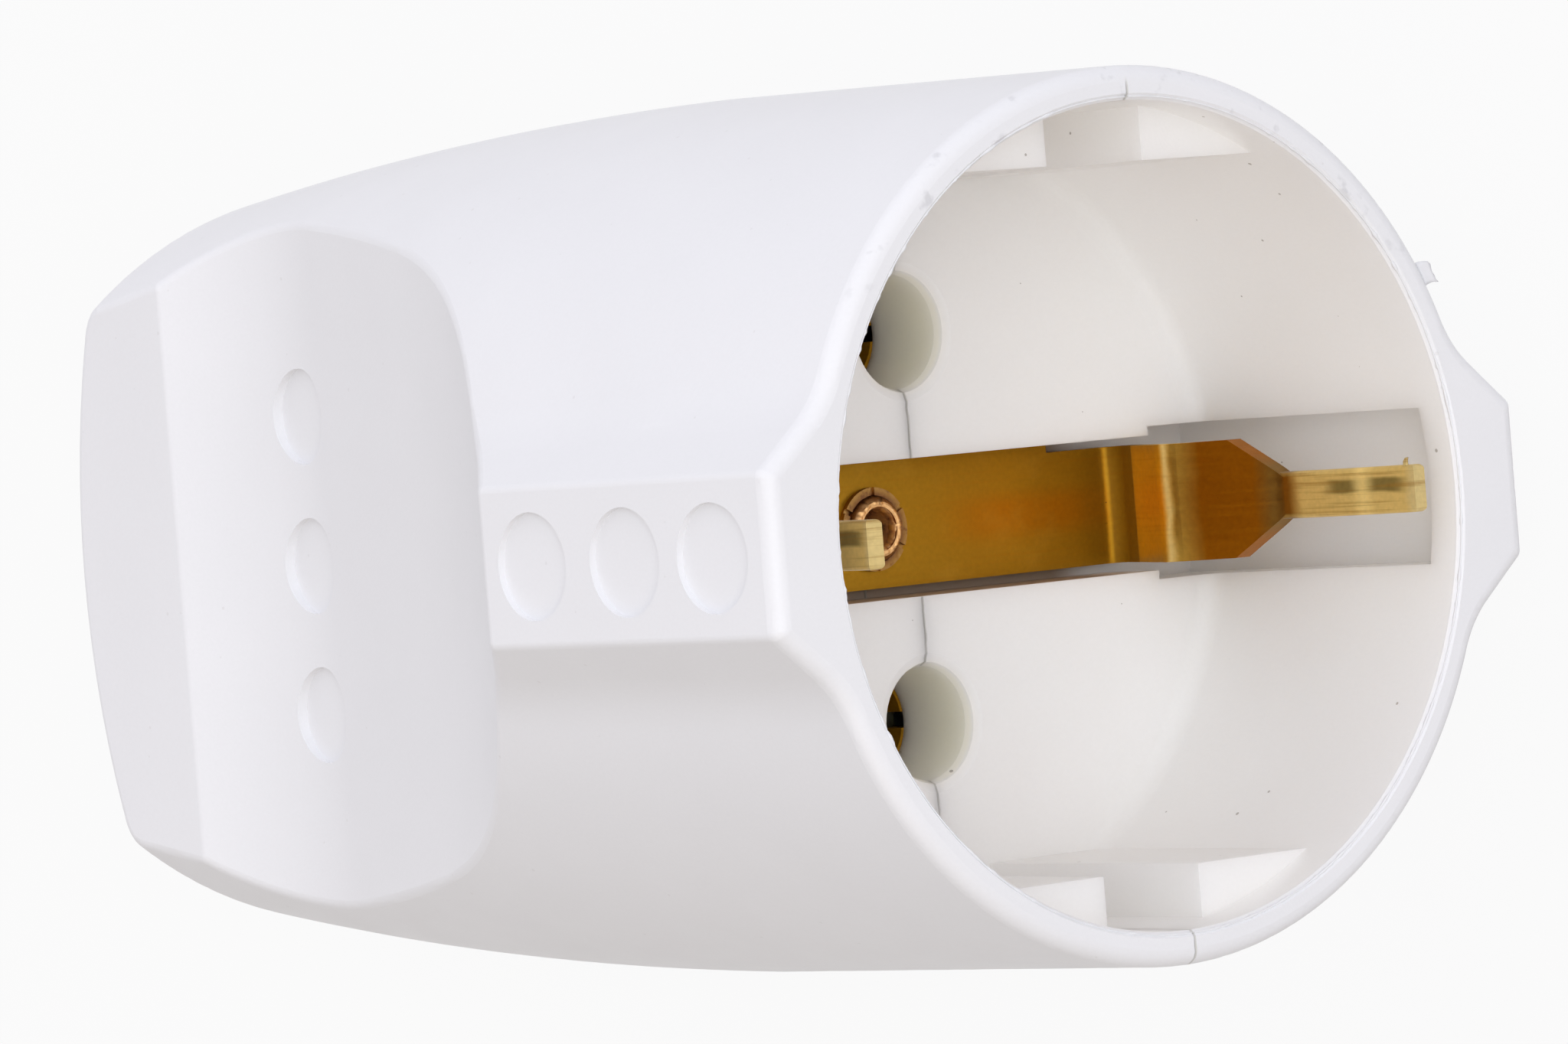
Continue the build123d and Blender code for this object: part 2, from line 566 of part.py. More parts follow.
def coupler():
    """Every piece by its name, along the coupler's own axis."""
    pieces = {}
    pieces["upper_shell"], pieces["lower_shell"] = shells()
    pieces["earth_strap"] = earth_strap()
    pieces["earth_rivet"] = earth_rivet()
    pieces["earth_bar"] = earth_bar()
    pieces["earth_clamp_plate"] = earth_clamp_plate()
    pieces["earth_terminal_screw"] = terminal_screw(
        bar_screw_x, 0, bar_top_z + CLAMP_PLATE[2], -BAR_DROP - COLLAR_H - TIP_CLEAR)
    for name, y in contacts.items():
        pieces[name + "_contact"] = contact(y)
        pieces[name + "_spring_ring"] = spring_ring(y)
        pieces[name + "_terminal_screw"] = terminal_screw(
            terminal_screw_x, y, TERMINAL_R + TERMINAL_SCREW_UP, WIRE_BORE_R)
    pieces["cord_clamp"] = cord_clamp()
    for name, side in (("left", 1), ("right", -1)):
        pieces["clamp_screw_" + name] = screw(
            clamp_mid_x, side * clamp_screw_y, CLAMP_EAR_T, -CLAMP_SCREW_REACH,
            CLAMP_SCREW_R, CLAMP_HEAD_R, CLAMP_HEAD_H)
    for name, (x, y) in housing_screws.items():
        pieces["housing_screw_" + name] = screw(
            x, y, -HOUSING_SEAT_Z, HOUSING_SCREW_UP, HOUSING_SCREW_R, HOUSING_HEAD_R, HOUSING_HEAD_H)
    return pieces


def rest_tilt():
    """Angle by which the coupler lies nose up, on the rounded rear edges of its rib and of its lip."""
    centre, radius = scoop(0)[2]
    rib_x = centre.X + math.sqrt((radius + EDGE_R) ** 2 - (centre.Y - rib_z + EDGE_R) ** 2)
    return math.degrees(math.atan2(LIP_DROP, rib_x - rear_x - EDGE_R))


def lie_down(pieces):
    """Tip the pieces the way the coupler rests, with the foot of its box at the origin."""
    tipped = {name: Rot(0, -rest_tilt(), 0) * piece for name, piece in pieces.items()}
    box = Compound(list(tipped.values())).bounding_box()
    centre = box.center()
    return {name: Pos(-centre.X, -centre.Y, -box.min.Z) * piece for name, piece in tipped.items()}


os.makedirs("parts", exist_ok=True)
for node, piece in lie_down(coupler()).items():
    export_step(piece, os.path.join("parts", node + ".step"))
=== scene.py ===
import bmesh
import bpy
import json
import math
from mathutils import Matrix, Vector, noise


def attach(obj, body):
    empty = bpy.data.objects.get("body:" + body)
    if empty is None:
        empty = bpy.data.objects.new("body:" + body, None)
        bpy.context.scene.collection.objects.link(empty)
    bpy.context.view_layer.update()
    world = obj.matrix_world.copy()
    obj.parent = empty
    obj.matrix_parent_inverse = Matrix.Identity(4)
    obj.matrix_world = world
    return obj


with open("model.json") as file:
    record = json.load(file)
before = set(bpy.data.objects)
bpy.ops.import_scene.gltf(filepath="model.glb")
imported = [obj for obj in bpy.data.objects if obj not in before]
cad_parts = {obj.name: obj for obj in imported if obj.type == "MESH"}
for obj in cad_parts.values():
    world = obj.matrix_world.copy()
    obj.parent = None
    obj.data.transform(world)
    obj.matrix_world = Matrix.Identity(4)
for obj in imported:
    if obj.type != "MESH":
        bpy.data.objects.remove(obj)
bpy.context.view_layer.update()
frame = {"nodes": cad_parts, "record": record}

# The coupler's own axis frame: x out of the mouth from the mouth's centre, y along the pins,
# z square to the split
MM = 0.001
RECESS_DEPTH = 17.6
mounts = {mount["name"]: mount for mount in frame["record"]["mounts"]}
along = Vector(mounts["plug_recess"]["axis"]).normalized()
across = Vector((0, 1, 0))
above = along.cross(across)
mouth = Vector(mounts["plug_recess"]["pos_m"]) + along * RECESS_DEPTH * MM
axes = Matrix((along, across, above)).transposed()

# Sizes of the coupler in that frame, in mm
RECESS_R = 19.45
RIM_BEVEL = 0.3          # bevel of the inner mouth edge
CHANNEL_BACK = 21.85     # mouth to the bottom of the strap's channel
CHANNEL_HALF_Z = 15.0    # half length of the stretch that mirrors the strap's base
SLOT_HALF_W = 3.8        # slot behind each leg of the strap
SLOT_Z = 21.5
STRAP_BACK = 21.0        # mouth to the face of the strap's base
RIVET_FLARE_R = 2.05

# Camera, in that frame, in mm
EYE = (285.1, 10.4, 258.5)
LOOK = (-0.77052, -0.02418, -0.63696)
TOP_OF_PICTURE = (0.03296, 0.99643, -0.07769)
LENS = 189.1
SENSOR = 36.0
NEAR_CLIP = 0.01         # in metres

# Soft boxes: the direction they stand in, in the axis frame, and their power in W by colour
LAMPS = {
    "front": ((0.77, 0.02, 0.64), (2.0, 2.2, 2.37)),
    "low": ((0.45, -0.65, 0.6), (1.5, 1.27, 1.05)),
    "mouth": ((1.0, 0.1, 0.05), (0.6, 0.54, 0.52)),
}
LAMP_SIZE = 0.7
LAMP_DISTANCE = 0.9
SKY_HIGH = (1.22, 1.2, 1.27)     # sky towards the top of the picture
SKY_LOW = (0.15, 0.13, 0.11)     # and towards its bottom
FLOOR_SIZE = 6.0
FLOOR_TINT = (0.55, 0.55, 0.55)
FLOOR_GLOW = 0.92        # share of the floor's look that is plain white for the camera
WHITE = (1.0, 1.0, 1.0)

# In the finishes below a noise has its bumps a mm, its detail and, where it is drawn out, its stretch.
# An edge has the two ends of a soft step. A stretch has two limits and their softness, and so have
# the crest, the bend and the tab's stripe and patch.
# Specks and pits have their pitch, their largest radius and the share of the cells that hold one.

# Plastic: colours
COOL_WHITE = (0.868, 0.872, 0.89)
# Painted light: the recess is painted a brighter, warmer white than the outside, for the light that fills it
PAINTED_RECESS_LIGHT = (0.945, 0.928, 0.905)
SEAM_GREY = (0.46, 0.44, 0.37)
SPECK_GREY = (0.38, 0.34, 0.3)
SCUFF_GREY = (0.5, 0.5, 0.52)
# Painted light: a cream glow painted into the pin holes
PAINTED_HOLE_GLOW = (1.0, 0.94, 0.82)
# Painted shade: brown painted deep in the strap's channel behind the floor
PAINTED_CHANNEL_SHADE = (0.4, 0.3, 0.22)
GLOW_REACH = 2.4         # how far light spreads inside the plastic of the recess and the pin holes, in mm
RECESS_GLOW = 0.6        # share of such light in the recess, next to all of it in the pin holes

# Plastic: where the colours lie, in mm
INNER_STRETCH = (-CHANNEL_BACK - 1, -RIM_BEVEL, 0.15)            # the recess and what shows behind its floor
BOWL_EDGE = (RECESS_R + 0.5, RECESS_R + 0.2)
SLOT_SIDE_EDGE = (SLOT_HALF_W + 0.4, SLOT_HALF_W + 0.2)
SLOT_END_EDGE = (SLOT_Z + 0.6, SLOT_Z + 0.3)
FLOOR_EDGE = (-RECESS_DEPTH, -RECESS_DEPTH - 0.5)
HOLE_EDGE = (SLOT_HALF_W + 1, SLOT_HALF_W + 1.5)
CHANNEL_SIDE_EDGE = (SLOT_HALF_W + 1, SLOT_HALF_W)
CHANNEL_END_EDGE = (CHANNEL_HALF_Z, CHANNEL_HALF_Z - 3)
SEAM_EDGE = (0.1, 0.03)          # half width of the split line
SEAM_WANDER = (-0.12, 0.12)
RIM_EDGE = (-0.7, -0.4)          # depth of the scuffed rim
RIM_WALL_EDGE = (RECESS_R, RECESS_R + RIM_BEVEL)
RIM_UPPER_EDGE = (8, 15)         # the scuffs keep to the rim's upper part
DUST_SPECKS = (1.2, 0.1, 0.5)

# Plastic: noises, their effects and how strong these are
PLASTIC_CLOUDS = (0.1, 1)
PLASTIC_WAVES = (0.4, 1)
PLASTIC_GRAIN = (6, 0)
SEAM_NOISE = (0.9, 2)
SCUFF_NOISE = (0.8, 3)
CLOUD_SHADE = (0.97, 1.01)
GRAIN_SHADE = (-0.01, 0.01)
SEAM_WAVES = (0.3, 0.55)         # the waves from which the split line shows
SEAM_SHARE = 0.55
DUST_SHARE = (0.12, 0.75)        # outside and in the recess
SCUFF_EDGE = (0.6, 0.72)
SCUFF_SHARE = 0.4
PLASTIC_RELIEF = (0.003, 0.015, -0.05)   # heights of the grain, the waves and the split line, in mm
PLASTIC_ROUGHNESS = (0.38, 0.52)

# Brass: colours
AMBER = (0.41, 0.205, 0.011)
WORN_AMBER = (0.52, 0.27, 0.025)
DEEP_AMBER = (0.47, 0.165, 0.004)
# Painted shade: darker amber on the bend between the strap's base and its leg
PAINTED_BEND_SHADE = (0.36, 0.17, 0.008)
BROWN = (0.41, 0.14, 0.005)
GOLD = (0.8, 0.53, 0.1)
# Painted highlight: pale gold for the highlight on the hump's crest and on the tab
PAINTED_HIGHLIGHT_GOLD = (0.93, 0.68, 0.24)
NECK_BROWN = (0.3, 0.16, 0.03)
TAB_GOLD = (0.7, 0.48, 0.15)
TAB_SHADE = (0.16, 0.11, 0.025)
STRAW = (0.68, 0.52, 0.22)
PIT_BROWN = (0.05, 0.02, 0.005)
DULL_METAL = 0.25      # how much of a metal the dull places look: the tab, the hump's crest with its painted highlight, and the bend
BASE_FILM = 0.55         # how far the film on the base goes towards that

# Brass: where the colours lie along the strap, by the share of the way from the channel's bottom to the mouth
# The ramp paints what the strap mirrors over the brass's own colour: amber on the base, which mirrors the
# leg, brown on the face beyond the hump, which turns away, darker brown on the neck, gold on the tab and a
# paler end
STRAP_STOPS = [
    (0.05, AMBER), (0.17, GOLD), (0.33, GOLD), (0.4, BROWN), (0.52, BROWN),
    (0.56, NECK_BROWN), (0.61, NECK_BROWN), (0.65, TAB_GOLD), (0.96, TAB_GOLD), (0.98, STRAW)]
STOP_WANDER = (-0.012, 0.012)
CREST = (0.305, 0.328, 0.012)    # painted highlight on the crest of the hump
TAB_EDGE = (0.6, 0.66)           # where the tab begins
TAB_SHADED = (0.74, 0.955, 0.03)         # shaded stripe along the tab
TAB_PATCH = (0.82, 0.86, 0.02)   # painted highlight that breaks the stripe

# Brass: where they lie in mm
TAB_STRIPE = (-0.05, 0.6, 0.1)   # that stripe, across
STRIPE_WANDER = (-0.15, 0.15)
BASE_FACE = 0.2 - STRAP_BACK     # the strap's base lies behind this
BEND = (0.15, 2.2, 0.1)          # painted shade on the dull bend between the strap's base and its leg, from the base
BAND_EDGE = (1.6, 0.3)           # deep band along the middle of the base
BAND_STRETCH = (6, 15, 3)
PITS = (1.3, 0.07, 0.3)

# Brass: noises, their effects and how strong these are
BRASS_STREAKS = (1.0, 2, (0.15, 6, 0.15))
BRASS_CLOUDS = (0.5, 2)
BRASS_GRAIN = (4, 1)
BAND_SHARE = 0.85
WORN_EDGE = (0.5, 0.75)
WORN_SHARE = 0.35
STRIPE_SHARE = 0.85
PATCH_SHARE = 0.8
TAB_STREAK_EDGE = (0.45, 0.7)
TAB_STREAK_SHARE = 0.5
STREAK_EDGE = (0.5, 0.8)
STREAK_SHARE = 0.2
BRASS_SHADE = (0.85, 1.1)
BRASS_RELIEF = (0.006, 0.01, 0.004)      # heights of the streaks, the clouds and the grain, in mm
BRASS_SPECULAR = 0.1
BRASS_ROUGHNESS = (0.24, 0.42)
BEND_ROUGHNESS = 0.3     # what the bend adds

# Copper
BRIGHT_COPPER = (0.82, 0.48, 0.21)
DULL_COPPER = (0.4, 0.22, 0.07)
# Dark copper: real stains, and a painted shadow line round the foot of the lip
COPPER_STAIN_AND_SHADOW = (0.2, 0.09, 0.04)
INNER_COPPER = (0.62, 0.27, 0.04)
BORE_EDGE = (0.46, 0.52)         # end of the rivet's bore, by the share of its flare's radius
# Copper colours from the bore outwards, by the same share; the dark ring at the lip's foot is a painted
# shadow line
COPPER_STOPS = [
    (BORE_EDGE[0], INNER_COPPER), (BORE_EDGE[1], BRIGHT_COPPER), (0.74, BRIGHT_COPPER),
    (0.8, COPPER_STAIN_AND_SHADOW), (0.95, DULL_COPPER)]
BORE_METAL = 0.3         # how much of a metal the rivet's tarnished bore looks
COPPER_STAIN = (2.5, 3)
COPPER_DENTS = (4, 3)
COPPER_WANDER = (-0.05, 0.05)
COPPER_STAIN_EDGE = (0.55, 0.75)
COPPER_RELIEF = 0.03
COPPER_ROUGHNESS = (0.25, 0.5)

# Steel
STEEL = (0.6, 0.6, 0.58)
STEEL_STAIN = (0.45, 0.43, 0.38)
STEEL_CLOUDS = (0.8, 4)
STEEL_LINES = (1.0, 2, (0.3, 0.3, 9))
STEEL_STAIN_EDGE = (0.4, 0.75)
STEEL_RELIEF = 0.008
STEEL_ROUGHNESS = (0.28, 0.46)

# Ragged bead of moulding flash along the inner edge of the mouth
FLASH_STEPS = 720
FLASH_SIDES = 6
FLASH_BACK = 0.12        # mouth to the middle of the bead
FLASH_RING_R = RECESS_R + RIM_BEVEL / 2
FLASH_R = 0.04           # radius of the bead where it is thin
FLASH_LUMP = 0.16        # what the largest lumps add to it
FLASH_COARSE = (25, 0.6)         # how often coarse lumps come along the ring, and their share
FLASH_FINE = (80, 0.4)           # and fine ones

# Ragged lip of the rivet: its outline in height above the strap and radius, and how far it strays
LIP_STEPS = 96
LIP_OUTLINE = ((0.3, 1.66), (0.5, 1.5), (0.66, 1.34), (0.68, 1.2), (0.5, 1.02), (0.2, 0.96), (0.05, 1.1))
LIP_STRAY = 0.13
LIP_COARSE = 2.5         # how often the lip's coarse bends come along the ring
LIP_FINE = 8             # its fine ones, half as strong
LIP_HEIGHTS = 5          # and its changes of height

# Scraps of flash, each a bent sheet: its slot, its root, the direction of its root edge, the way it stands
# and the way it bends, in the axis frame, then its width, height, bend and thickness in mm
SCRAPS = {
    "mouth_scrap": ("housing_plastic", (-0.6, 10.2, -18.5), (0, 0.9, 0.42), (0, 0.42, -0.9), (0, -0.9, -0.42),
                    (1.2, 0.8, 0.25, 0.22)),
    "tab_burr": ("brass", (-0.55, 1.12, -16.55), (1, 0, 0), (0, 1, 0.3), (1, 0, 0), (0.25, 0.35, 0.15, 0.12)),
}
SCRAP_ROWS = 6
SCRAP_RAG = 0.25         # how uneven a scrap's free edge is
SCRAP_TEETH = 4          # how often that edge changes along a scrap

# Where a colour mix node has its two colours and its result
MIX_FIRST, MIX_SECOND, MIX_RESULT = 6, 7, 2


def place(x, y, z):
    """Point of the axis frame, in mm, as a point of the scene, in metres."""
    return mouth + (along * x + across * y + above * z) * MM


def turn(x, y, z):
    """Direction of the axis frame as a direction of the scene."""
    return along * x + across * y + above * z


class Tree:
    """Empty node tree of a material or of the sky, with short calls for the nodes that it takes."""

    def __init__(self, owner):
        owner.use_nodes = True
        self.tree = owner.node_tree
        self.tree.nodes.clear()

    def add(self, kind, inputs=None, **settings):
        """New node, with its settings, and a value, a colour or a link on each named input."""
        made = self.tree.nodes.new(kind)
        for name, value in settings.items():
            setattr(made, name, value)
        for name, value in (inputs or {}).items():
            socket = made.inputs[name]
            if isinstance(value, bpy.types.NodeSocket):
                self.tree.links.new(value, socket)
            elif socket.type == "RGBA":
                socket.default_value = (*value, 1)
            else:
                socket.default_value = value
        return made

    def math(self, operation, first, second=0.0):
        return self.add("ShaderNodeMath", {0: first, 1: second}, operation=operation).outputs[0]

    def chain(self, operation, values):
        """One operation over all the values."""
        whole = values[0]
        for value in values[1:]:
            whole = self.math(operation, whole, value)
        return whole

    def times(self, *values):
        return self.chain("MULTIPLY", values)

    def total(self, *values):
        return self.chain("ADD", values)

    def most(self, *values):
        return self.chain("MAXIMUM", values)

    def size(self, value):
        return self.math("ABSOLUTE", value)

    def step(self, value, low, high):
        """Smooth rise from 0 at low to 1 at high, or the fall where low is the larger one."""
        ends = {"Value": value, "From Min": low, "From Max": high}
        return self.add("ShaderNodeMapRange", ends, interpolation_type="SMOOTHSTEP").outputs["Result"]

    def between(self, value, low, high, soft):
        """1 between two limits, with soft edges."""
        rise = self.step(value, low - soft, low + soft)
        fall = self.step(value, high + soft, high - soft)
        return self.times(rise, fall)

    def span(self, value, low, high):
        """A value from 0 to 1, spread from low to high."""
        ends = {"Value": value, "To Min": low, "To Max": high}
        return self.add("ShaderNodeMapRange", ends).outputs["Result"]

    def noise(self, where, scale, detail, stretch=(1, 1, 1)):
        """Noise from 0 to 1 with so many bumps a mm, drawn out along the axes where stretch is small."""
        drawn = self.add("ShaderNodeMapping", {"Vector": where, "Scale": stretch}).outputs[0]
        return self.add("ShaderNodeTexNoise", {"Vector": drawn, "Scale": scale, "Detail": detail}).outputs[0]

    def specks(self, where, pitch, radius, share):
        """Round specks up to a radius, one at most in each cell of a pitch, in a share of the cells."""
        cells = self.add("ShaderNodeTexVoronoi", {"Vector": where, "Scale": 1 / pitch}).outputs
        chance = self.add("ShaderNodeSeparateColor", {0: cells["Color"]}).outputs
        reach = self.times(chance[0], radius / pitch)
        inside = self.math("LESS_THAN", cells["Distance"], reach)
        return self.times(inside, self.math("LESS_THAN", chance[1], share))

    def mix(self, share, first, second, blend="MIX"):
        inputs = {0: share, MIX_FIRST: first, MIX_SECOND: second}
        return self.add("ShaderNodeMix", inputs, data_type="RGBA", blend_type=blend).outputs[MIX_RESULT]

    def shade(self, tint, value):
        """A colour times a value."""
        grey = self.add("ShaderNodeCombineColor", {0: value, 1: value, 2: value}).outputs[0]
        return self.mix(1.0, tint, grey, "MULTIPLY")

    def ramp(self, value, stops):
        """Colour by a value from 0 to 1, from pairs of a place and a colour."""
        made = self.add("ShaderNodeValToRGB", {0: value})
        points = made.color_ramp.elements
        while len(points) < len(stops):
            points.new(1.0)
        for point, (at, tint) in zip(points, stops):
            point.position = at
            point.color = (*tint, 1)
        return made.outputs["Color"]

    def relief(self, parts, heights):
        """Height of a surface in mm: each part times its own height, added up."""
        return self.total(*[self.times(part, height) for part, height in zip(parts, heights)])

    def axis_frame(self):
        """Place in mm in the axis frame: as a vector, as x, y and z, and as distance from the axis."""
        here = self.add("ShaderNodeTexCoord").outputs["Object"]
        frame_of = {"Vector": here, "Location": mouth, "Rotation": axes.to_euler(), "Scale": (MM, MM, MM)}
        where = self.add("ShaderNodeMapping", frame_of, vector_type="TEXTURE").outputs[0]
        x, y, z = self.add("ShaderNodeSeparateXYZ", {0: where}).outputs
        radius = self.math("SQRT", self.total(self.times(y, y), self.times(z, z)))
        return where, x, y, z, radius

    def seen_ray(self):
        """1 for the rays by which the camera sees a surface, straight, mirrored or through glass."""
        path = self.add("ShaderNodeLightPath").outputs
        return self.most(path["Is Camera Ray"], path["Is Glossy Ray"], path["Is Transmission Ray"])


def add_camera():
    data = bpy.data.cameras.new("camera")
    data.lens = LENS
    data.sensor_width = SENSOR
    data.sensor_fit = "HORIZONTAL"
    data.clip_start = NEAR_CLIP
    camera = bpy.data.objects.new("camera", data)
    bpy.context.scene.collection.objects.link(camera)
    back = -turn(*LOOK).normalized()
    right = turn(*TOP_OF_PICTURE).cross(back).normalized()
    basis = Matrix((right, back.cross(right), back)).transposed()
    camera.matrix_world = Matrix.Translation(place(*EYE)) @ basis.to_4x4()
    bpy.context.scene.camera = camera


def add_lamps():
    aim = place(-RECESS_DEPTH, 0, 0)
    for name, (towards, power) in LAMPS.items():
        data = bpy.data.lights.new(name, "AREA")
        data.shape = "DISK"
        data.size = LAMP_SIZE
        data.energy = max(power)
        data.color = [part / max(power) for part in power]
        lamp = bpy.data.objects.new(name, data)
        bpy.context.scene.collection.objects.link(lamp)
        way = turn(*towards).normalized()
        lamp.location = aim + way * LAMP_DISTANCE
        lamp.rotation_euler = way.to_track_quat("Z", "Y").to_euler()


def add_sky():
    world = bpy.data.worlds.new("sky")
    bpy.context.scene.world = world
    tree = Tree(world)
    way = tree.add("ShaderNodeTexCoord").outputs["Generated"]
    height = tree.add("ShaderNodeSeparateXYZ", {0: way}).outputs["Y"]
    # The height runs from -1 to 1, and the mix takes 0 to 1
    tint = tree.mix(tree.total(tree.times(height, 0.5), 0.5), SKY_LOW, SKY_HIGH)
    light = tree.add("ShaderNodeBackground", {"Color": tint, "Strength": 1.0})
    white = tree.add("ShaderNodeBackground", {"Color": WHITE, "Strength": 1.0})
    mix = tree.add("ShaderNodeMixShader", {0: tree.seen_ray(), 1: light.outputs[0], 2: white.outputs[0]})
    tree.add("ShaderNodeOutputWorld", {"Surface": mix.outputs[0]})


def add_floor():
    half = FLOOR_SIZE / 2
    corners = [(-half, -half, 0), (half, -half, 0), (half, half, 0), (-half, half, 0)]
    mesh = bpy.data.meshes.new("floor")
    mesh.from_pydata(corners, [], [(0, 1, 2, 3)])
    floor = bpy.data.objects.new("floor", mesh)
    bpy.context.scene.collection.objects.link(floor)
    material = bpy.data.materials.new("floor")
    tree = Tree(material)
    matt = tree.add("ShaderNodeBsdfDiffuse", {"Color": FLOOR_TINT})
    glow = tree.add("ShaderNodeEmission", {"Color": WHITE, "Strength": 1.0})
    share = tree.times(tree.seen_ray(), FLOOR_GLOW)
    mix = tree.add("ShaderNodeMixShader", {0: share, 1: matt.outputs[0], 2: glow.outputs[0]})
    tree.add("ShaderNodeOutputMaterial", {"Surface": mix.outputs[0]})
    mesh.materials.append(material)


def finished(name, recipe):
    """Material from a recipe, which gives the shader's inputs and the height of the relief in mm."""
    material = bpy.data.materials.new(name)
    tree = Tree(material)
    inputs, relief = recipe(tree, *tree.axis_frame())
    bump = tree.add("ShaderNodeBump", {"Height": relief, "Strength": 1.0, "Distance": MM})
    surface = tree.add("ShaderNodeBsdfPrincipled", {**inputs, "Normal": bump.outputs[0]})
    tree.add("ShaderNodeOutputMaterial", {"Surface": surface.outputs[0]})
    return material


def plastic(tree, where, x, y, z, radius):
    """Moulded plastic: cool white outside, with painted warm light in the recess, a painted glow in the pin
    holes and painted shade in the strap's channel, and with the split line, specks and scuffs.
    """
    clouds = tree.noise(where, *PLASTIC_CLOUDS)
    waves = tree.noise(where, *PLASTIC_WAVES)
    grain = tree.noise(where, *PLASTIC_GRAIN)
    side = tree.size(y)
    end = tree.size(z)
    bowl = tree.step(radius, *BOWL_EDGE)
    slot = tree.times(tree.step(side, *SLOT_SIDE_EDGE), tree.step(end, *SLOT_END_EDGE))
    inner = tree.times(tree.between(x, *INNER_STRETCH), tree.most(bowl, slot))
    # Painted light: brighter, warmer white in the recess and the slots
    tint = tree.mix(inner, COOL_WHITE, PAINTED_RECESS_LIGHT)
    behind = tree.times(inner, tree.step(x, *FLOOR_EDGE))
    # Painted light: the pin holes behind the floor are painted cream, for light that glows through the
    # plastic
    hole = tree.times(behind, tree.step(side, *HOLE_EDGE))
    tint = tree.mix(hole, tint, PAINTED_HOLE_GLOW)
    # Painted shade: the channel behind the floor is painted brown
    channel = tree.times(behind, tree.step(side, *CHANNEL_SIDE_EDGE), tree.step(end, *CHANNEL_END_EDGE))
    tint = tree.mix(channel, tint, PAINTED_CHANNEL_SHADE)
    tint = tree.shade(tint, tree.total(tree.span(clouds, *CLOUD_SHADE), tree.span(grain, *GRAIN_SHADE)))
    wander = tree.span(tree.noise(where, *SEAM_NOISE), *SEAM_WANDER)
    seam = tree.times(tree.step(tree.size(tree.total(z, wander)), *SEAM_EDGE), tree.step(waves, *SEAM_WAVES))
    tint = tree.mix(tree.times(seam, SEAM_SHARE), tint, SEAM_GREY)
    dust = tree.times(tree.specks(where, *DUST_SPECKS), tree.span(inner, *DUST_SHARE))
    tint = tree.mix(dust, tint, SPECK_GREY)
    rim = tree.times(tree.step(x, *RIM_EDGE), tree.step(radius, *RIM_WALL_EDGE))
    upper_rim = tree.times(rim, tree.step(y, *RIM_UPPER_EDGE))
    scuffs = tree.step(tree.noise(where, *SCUFF_NOISE), *SCUFF_EDGE)
    tint = tree.mix(tree.times(upper_rim, scuffs, SCUFF_SHARE), tint, SCUFF_GREY)
    inputs = {
        "Base Color": tint,
        "Roughness": tree.span(waves, *PLASTIC_ROUGHNESS),
        "Subsurface Weight": tree.most(hole, tree.times(inner, RECESS_GLOW)),
        "Subsurface Radius": WHITE,
        "Subsurface Scale": GLOW_REACH * MM,
    }
    return inputs, tree.relief((grain, waves, seam), PLASTIC_RELIEF)


def brass(tree, where, x, y, z, radius):
    """Brass whose colours along the strap are partly its own and partly painted reflection: amber on the
    base, painted shade on the bend, a painted highlight on the hump's crest, brown beyond it, and on the tab
    a painted shaded stripe and highlight, with streaks along it.
    """
    streaks = tree.noise(where, *BRASS_STREAKS)
    clouds = tree.noise(where, *BRASS_CLOUDS)
    grain = tree.noise(where, *BRASS_GRAIN)
    way = tree.math("DIVIDE", tree.total(x, CHANNEL_BACK), CHANNEL_BACK)
    reach = tree.total(way, tree.span(clouds, *STOP_WANDER))
    # Painted reflection: the strap's colours along its length
    tint = tree.ramp(reach, STRAP_STOPS)
    base = tree.math("LESS_THAN", x, BASE_FACE)
    band = tree.times(tree.step(tree.size(y), *BAND_EDGE), tree.between(tree.size(z), *BAND_STRETCH))
    tint = tree.mix(tree.times(base, band, BAND_SHARE), tint, DEEP_AMBER)
    tint = tree.mix(tree.times(base, tree.step(clouds, *WORN_EDGE), WORN_SHARE), tint, WORN_AMBER)
    # Painted shade on the bend
    bend = tree.between(tree.total(x, STRAP_BACK), *BEND)
    tint = tree.mix(bend, tint, PAINTED_BEND_SHADE)
    tab = tree.step(reach, *TAB_EDGE)
    lane = tree.between(tree.total(y, tree.span(clouds, *STRIPE_WANDER)), *TAB_STRIPE)
    stripe = tree.times(tab, lane, tree.between(reach, *TAB_SHADED))
    tint = tree.mix(tree.times(stripe, STRIPE_SHARE), tint, TAB_SHADE)
    # Painted highlight: pale gold on the hump's crest and on a patch of the tab
    crest = tree.between(reach, *CREST)
    patch = tree.times(tab, tree.between(reach, *TAB_PATCH))
    tint = tree.mix(tree.most(crest, tree.times(patch, PATCH_SHARE)), tint, PAINTED_HIGHLIGHT_GOLD)
    tab_streaks = tree.times(tab, tree.step(streaks, *TAB_STREAK_EDGE))
    tint = tree.mix(tree.times(tab_streaks, TAB_STREAK_SHARE), tint, NECK_BROWN)
    tint = tree.mix(tree.times(tree.step(streaks, *STREAK_EDGE), STREAK_SHARE), tint, DEEP_AMBER)
    tint = tree.shade(tint, tree.span(grain, *BRASS_SHADE))
    tint = tree.mix(tree.specks(where, *PITS), tint, PIT_BROWN)
    dull = tree.most(tab, crest, bend, tree.times(base, BASE_FILM))
    inputs = {
        "Base Color": tint,
        "Metallic": tree.span(dull, 1.0, DULL_METAL),
        "Specular IOR Level": BRASS_SPECULAR,
        "Roughness": tree.total(tree.span(streaks, *BRASS_ROUGHNESS), tree.times(bend, BEND_ROUGHNESS)),
    }
    return inputs, tree.relief((streaks, clouds, grain), BRASS_RELIEF)


